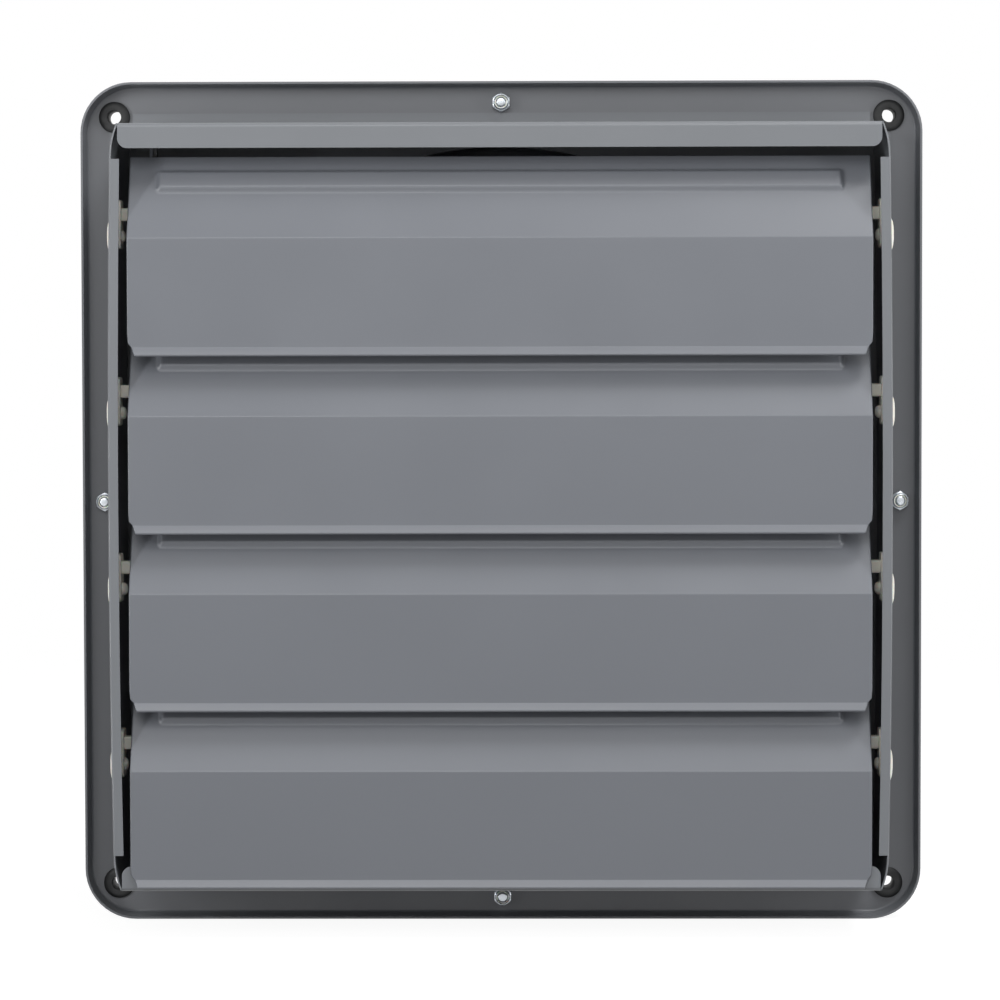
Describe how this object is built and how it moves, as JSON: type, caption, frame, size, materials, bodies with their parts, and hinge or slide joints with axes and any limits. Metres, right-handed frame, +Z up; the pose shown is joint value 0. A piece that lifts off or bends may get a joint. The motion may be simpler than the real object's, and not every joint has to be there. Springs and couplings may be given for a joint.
{
  "type": "exhaust fan",
  "caption": "Square wall exhaust fan: pressed panel with a drawn ring, guarded motor and bladed impeller, and a sheet-metal box of gravity louvers on nylon pivots.",
  "frame": {"origin": "on the fan's axis, in the panel's flat front face, which carries the shutter box", "axes": "+Y along the fan's axis towards the motor, +Z up, -Y out through the shutter"},
  "size_m": [0.396, 0.2025, 0.396],
  "materials": {
    "panel_paint": "satin grey powder coat",
    "shutter_paint": "satin light grey powder coat",
    "louver_paint": "satin light grey powder coat",
    "rubber_black": "matte moulded rubber",
    "nylon_white": "matte moulded nylon",
    "zinc_steel": "bright zinc plate",
    "guard_wire": "black powder coat",
    "motor_aluminium": "cast and painted grey",
    "core_steel": "varnished laminations",
    "copper_winding": "enamelled copper",
    "rotor_aluminium": "cast cage",
    "bearing_steel": "ground",
    "shaft_steel": "ground",
    "box_plastic": "fine grained",
    "capacitor_plastic": "smooth",
    "blade_paint": "satin dark grey paint",
    "hub_steel": "satin paint"
  },
  "bodies": {
    "frame": {"mounting_panel": "panel_paint", "corner_grommets": "rubber_black", "shutter_top_wall": "shutter_paint", "shutter_bottom_wall": "shutter_paint", "shutter_left_wall": "shutter_paint", "shutter_right_wall": "shutter_paint", "guard_spokes": "guard_wire", "guard_rings": "guard_wire", "guard_feet": "guard_wire", "guard_bolts": "zinc_steel", "lock_nuts": "zinc_steel", "lock_nut_inserts": "nylon_white", "motor_plate": "guard_wire", "motor_front_shield": "motor_aluminium", "motor_rear_shield": "motor_aluminium", "motor_bolts": "zinc_steel", "motor_nuts": "zinc_steel", "stator_core": "core_steel", "stator_winding": "copper_winding", "front_bearing_outer": "bearing_steel", "rear_bearing_outer": "bearing_steel", "terminal_box": "box_plastic", "terminal_box_screws": "zinc_steel", "terminal_cover": "box_plastic", "cover_screws": "zinc_steel", "cable_gland": "box_plastic", "capacitor": "capacitor_plastic", "pivot_bearing_left_1": "nylon_white", "pivot_bearing_right_1": "nylon_white", "pivot_bearing_left_2": "nylon_white", "pivot_bearing_right_2": "nylon_white", "pivot_bearing_left_3": "nylon_white", "pivot_bearing_right_3": "nylon_white", "pivot_bearing_left_4": "nylon_white", "pivot_bearing_right_4": "nylon_white"},
    "fan": {"motor_shaft": "shaft_steel", "rotor": "rotor_aluminium", "front_bearing_inner": "bearing_steel", "rear_bearing_inner": "bearing_steel", "bearing_balls": "bearing_steel", "impeller_hub": "hub_steel", "blade_1": "blade_paint", "blade_2": "blade_paint", "blade_3": "blade_paint", "blade_4": "blade_paint", "blade_5": "blade_paint", "blade_rivets": "zinc_steel", "hub_screw": "zinc_steel"},
    "louver_1": {"louver_1": "louver_paint", "louver_pins_1": "zinc_steel"},
    "louver_2": {"louver_2": "louver_paint", "louver_pins_2": "zinc_steel"},
    "louver_3": {"louver_3": "louver_paint", "louver_pins_3": "zinc_steel"},
    "louver_4": {"louver_4": "louver_paint", "louver_pins_4": "zinc_steel"},
    "tie_bar": {"tie_bar": "guard_wire", "link_pins": "zinc_steel"}
  },
  "joints": [
    {"name": "louver_1_swing", "type": "hinge", "parent": "frame", "child": "louver_1", "pos_m": [0, -0.055, 0.1343], "axis": [-1, 0, 0], "range_deg": [0, 80]},
    {"name": "louver_2_swing", "type": "hinge", "parent": "frame", "child": "louver_2", "pos_m": [0, -0.055, 0.0532], "axis": [-1, 0, 0], "range_deg": [0, 80]},
    {"name": "louver_3_swing", "type": "hinge", "parent": "frame", "child": "louver_3", "pos_m": [0, -0.055, -0.0279], "axis": [-1, 0, 0], "range_deg": [0, 80]},
    {"name": "louver_4_swing", "type": "hinge", "parent": "frame", "child": "louver_4", "pos_m": [0, -0.055, -0.109], "axis": [-1, 0, 0], "range_deg": [0, 80]},
    {"name": "tie_bar_link", "type": "hinge", "parent": "louver_1", "child": "tie_bar", "pos_m": [-0.1594, -0.049, 0.1673], "axis": [-1, 0, 0], "range_deg": [-80, 0]},
    {"name": "fan_spin", "type": "hinge", "parent": "frame", "child": "fan", "pos_m": [0, 0.012, 0], "axis": [0, -1, 0], "continuous": true}
  ],
  "couplings": [
    {"joint": "louver_2_swing", "follows": "louver_1_swing", "ratio": 1},
    {"joint": "louver_3_swing", "follows": "louver_1_swing", "ratio": 1},
    {"joint": "louver_4_swing", "follows": "louver_1_swing", "ratio": 1},
    {"joint": "tie_bar_link", "follows": "louver_1_swing", "ratio": -1}
  ]
}
